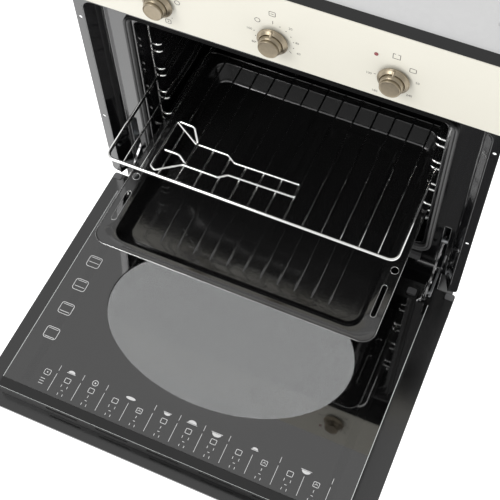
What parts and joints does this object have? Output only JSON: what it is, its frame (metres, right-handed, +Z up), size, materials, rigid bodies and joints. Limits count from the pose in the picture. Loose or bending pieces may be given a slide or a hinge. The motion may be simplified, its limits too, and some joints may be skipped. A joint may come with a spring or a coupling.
{
  "type": "built-in gas oven",
  "caption": "Built-in gas oven with control panel and knobs, glazed drop-down door lying open, and a wire rack with lifter and a baking tray pulled forward.",
  "frame": {"origin": "on the underside of the base, mid-width, in the plane where the side flanges meet the cabinet", "axes": "+X to the viewer's right when facing the oven, +Y into the oven, +Z up"},
  "size_m": [0.595, 0.968, 0.595],
  "materials": {
    "black_enamel": "gloss vitreous enamel",
    "tray_enamel": "gloss vitreous enamel",
    "cream_enamel": "satin enamel",
    "dark_metal": "satin",
    "chrome_wire": "bright",
    "aged_bronze": "satin, aged",
    "steel": "plain",
    "zinc_sheet": "galvanised",
    "light_cover": "satin",
    "seal_rubber": "matt",
    "grey_plastic": "matt",
    "black_glass": "tinted, gloss",
    "clear_glass": "clear, gloss",
    "lens_red": "gloss",
    "wool": "fibrous",
    "brass": "machined",
    "aluminium": "cast",
    "white_plastic": "matt",
    "ceramic_look": "matt"
  },
  "bodies": {
    "oven_body": {"front_frame": "black_enamel", "door_gasket": "seal_rubber", "frame_buffers": "grey_plastic", "cavity_liner": "black_enamel", "floor_plate": "black_enamel", "insulation_blanket": "wool", "ladder_right": "chrome_wire", "ladder_left": "chrome_wire", "ladder_screws": "steel", "hinge_receiver_right": "zinc_sheet", "hinge_receiver_left": "zinc_sheet", "panel_fascia": "cream_enamel", "panel_support": "dark_metal", "panel_lamp": "lens_red", "gas_tap": "aluminium", "timer_case": "white_plastic", "selector_switch": "white_plastic", "gas_inlet": "brass", "supply_pipe": "aluminium", "burner_pipe": "aluminium", "burner": "steel", "flame_probe": "steel", "grill_element": "dark_metal", "grill_clips": "steel", "lamp_holder": "ceramic_look", "lamp_glass": "clear_glass", "lamp_bulb": "clear_glass", "flue_duct": "zinc_sheet", "casing_wrap": "zinc_sheet", "top_cover": "light_cover", "rear_cover": "zinc_sheet", "bottom_trim": "dark_metal", "terminal_block": "white_plastic"},
    "door": {"door_outer_panel": "dark_metal", "oval_window_glass": "clear_glass", "door_profile_right": "dark_metal", "door_profile_left": "dark_metal", "door_bottom_rail": "dark_metal", "door_top_trim": "dark_metal", "door_inner_glass": "black_glass", "door_middle_glass": "clear_glass", "glass_seals": "seal_rubber", "door_corner_pads": "grey_plastic", "handle_bar": "aged_bronze", "handle_posts": "aged_bronze", "handle_screws": "steel", "hinge_plate_right": "steel", "hinge_plate_left": "steel"},
    "arm_right": {"check_arm_right": "steel"},
    "arm_left": {"check_arm_left": "steel"},
    "rack": {"oven_rack": "chrome_wire"},
    "lifter": {"lifter_tool": "chrome_wire"},
    "tray": {"baking_tray": "tray_enamel"},
    "tap_turning": {"tap_plug": "brass"},
    "tap_knob": {"left_knob": "aged_bronze", "tap_spindle": "steel"},
    "timer_knob": {"middle_knob": "aged_bronze", "timer_spindle": "steel"},
    "selector_knob": {"right_knob": "aged_bronze", "selector_spindle": "steel"}
  },
  "joints": [
    {"name": "door_hinge", "type": "hinge", "parent": "oven_body", "child": "door", "pos_m": [0, -0.008, 0.056], "axis": [-1, 0, 0], "range_deg": [0, 90]},
    {"name": "arm_right_pivot", "type": "hinge", "parent": "door", "child": "arm_right", "pos_m": [0.255, -0.034, 0.078], "axis": [-1, 0, 0], "range_deg": [-90, 0]},
    {"name": "arm_left_pivot", "type": "hinge", "parent": "door", "child": "arm_left", "pos_m": [-0.255, -0.034, 0.078], "axis": [-1, 0, 0], "range_deg": [-90, 0]},
    {"name": "rack_slide", "type": "slide", "parent": "oven_body", "child": "rack", "axis": [0, 1, 0], "range_m": [0, 0.148]},
    {"name": "lifter_lift", "type": "slide", "parent": "rack", "child": "lifter", "axis": [0, 0, 1], "range_m": [0, 0.04]},
    {"name": "tray_slide", "type": "slide", "parent": "oven_body", "child": "tray", "axis": [0, 1, 0], "range_m": [0, 0.224]},
    {"name": "tap_turn", "type": "hinge", "parent": "oven_body", "child": "tap_turning", "pos_m": [-0.1552, 0, 0.524], "axis": [0, -1, 0], "range_deg": [0, 210]},
    {"name": "tap_push", "type": "slide", "parent": "tap_turning", "child": "tap_knob", "axis": [0, 1, 0], "range_m": [0, 0.003], "stiffness_N_per_m": 600, "springref_m": -0.002},
    {"name": "timer_turn", "type": "hinge", "parent": "oven_body", "child": "timer_knob", "pos_m": [0, 0, 0.524], "axis": [0, 1, 0], "range_deg": [0, 300]},
    {"name": "selector_turn", "type": "hinge", "parent": "oven_body", "child": "selector_knob", "pos_m": [0.1552, 0, 0.524], "axis": [0, 1, 0], "range_deg": [0, 270]}
  ],
  "couplings": [
    {"joint": "arm_right_pivot", "follows": "door_hinge", "ratio": -1},
    {"joint": "arm_left_pivot", "follows": "door_hinge", "ratio": -1},
    {"joint": "rack_slide", "follows": "door_hinge", "m_per_rad": 0.0942},
    {"joint": "tray_slide", "follows": "door_hinge", "m_per_rad": 0.1426}
  ]
}
